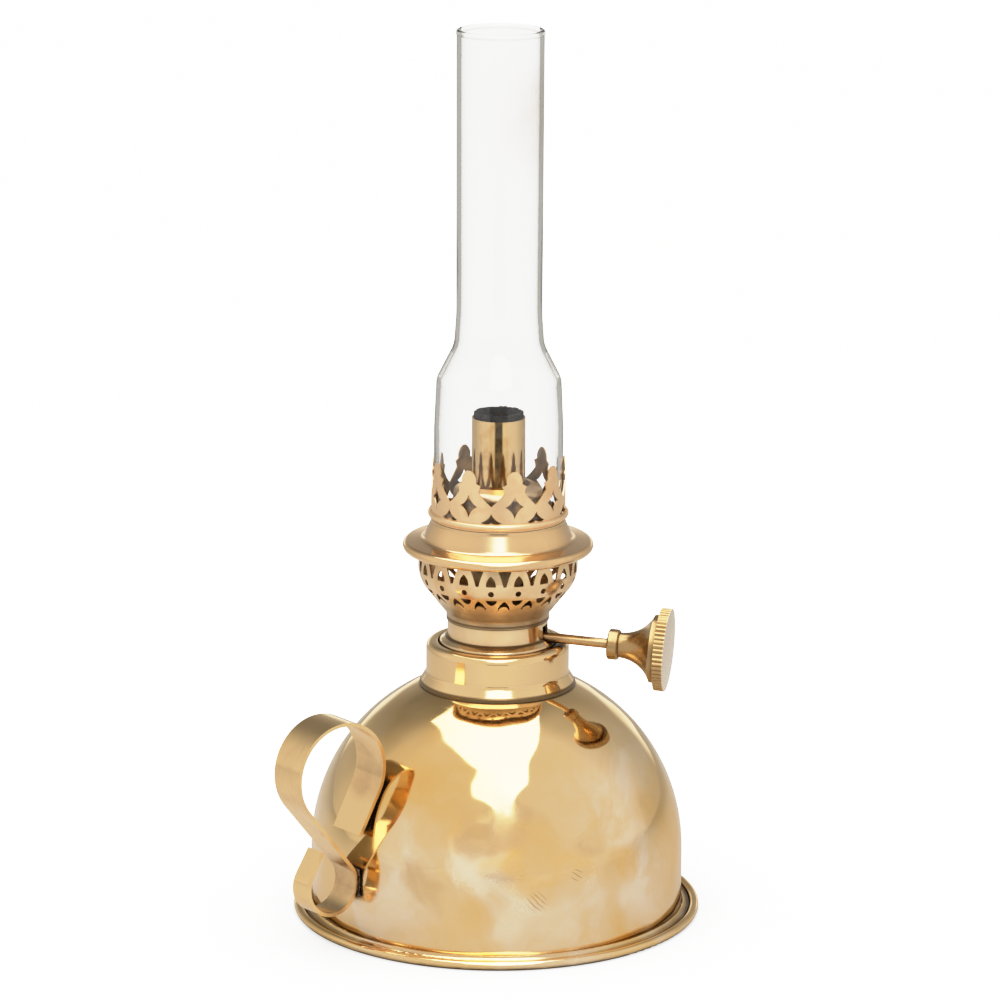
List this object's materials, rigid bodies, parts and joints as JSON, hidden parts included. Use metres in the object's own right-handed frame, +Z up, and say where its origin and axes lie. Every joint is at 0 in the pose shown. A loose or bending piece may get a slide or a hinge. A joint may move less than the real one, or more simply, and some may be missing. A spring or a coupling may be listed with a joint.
{
  "type": "oil lamp",
  "caption": "Domed brass hand lamp that burns oil: strap handle with a finger loop, screw-in burner with pierced basket and pronged crown, wick winder knob and glass chimney.",
  "frame": {"origin": "on the lamp's upright axis, on the underside of the base plate", "axes": "+Z up along the chimney; -X towards the strap handle"},
  "size_m": [0.1277, 0.1118, 0.2439],
  "materials": {
    "polished_brass": "hand polished, with faint tarnish and fine scratches",
    "burner_brass": "bright pressed sheet, darker in the corners",
    "knob_brass": "polished, with a knurled rim",
    "spindle_brass": "dull drawn rod",
    "solder": "dull soft solder, stained brown",
    "chimney_glass": "clear blown glass with a fire-polished lip",
    "wick_cotton": "woven cotton, charred at the top"
  },
  "bodies": {
    "font": {"base_plate": "polished_brass", "font_bowl": "polished_brass", "neck_collar": "polished_brass", "strap_handle": "polished_brass", "upper_handle_solder": "solder", "lower_handle_solder": "solder"},
    "thread_ring": {"burner_thread_ring": "burner_brass"},
    "burner": {"winder_housing": "burner_brass", "tube_plate": "burner_brass", "burner_basket": "burner_brass", "gallery_flange": "burner_brass", "chimney_crown": "burner_brass", "air_deflector": "burner_brass", "outer_wick_tube": "burner_brass", "inner_draft_tube": "burner_brass", "spindle_bush": "burner_brass"},
    "winder": {"winder_spindle": "spindle_brass", "wick_star_wheels": "spindle_brass", "spindle_ferrule": "knob_brass", "knob_stem": "knob_brass", "knob_disc": "knob_brass"},
    "wick": {"wick": "wick_cotton"},
    "chimney": {"chimney": "chimney_glass"}
  },
  "joints": [
    {"name": "burner_rise", "type": "slide", "parent": "font", "child": "thread_ring", "axis": [0, 0, 1], "range_m": [0, 0.00875]},
    {"name": "burner_unscrew", "type": "hinge", "parent": "thread_ring", "child": "burner", "pos_m": [0, 0, 0.0752], "axis": [0, 0, 1], "range_deg": [0, 1260]},
    {"name": "knob_turn", "type": "hinge", "parent": "burner", "child": "winder", "pos_m": [-0.00115, -0.00096, 0.07874], "axis": [-0.6419, 0.765, 0.0523], "range_deg": [-141, 201]},
    {"name": "wick_rise", "type": "slide", "parent": "burner", "child": "wick", "axis": [0, 0, 1], "range_m": [-0.007, 0.01]},
    {"name": "chimney_lift", "type": "slide", "parent": "burner", "child": "chimney", "axis": [0, 0, 1], "range_m": [0, 0.06]}
  ],
  "couplings": [
    {"joint": "burner_unscrew", "follows": "burner_rise", "rad_per_m": 2513},
    {"joint": "knob_turn", "follows": "wick_rise", "rad_per_m": 350.4}
  ]
}
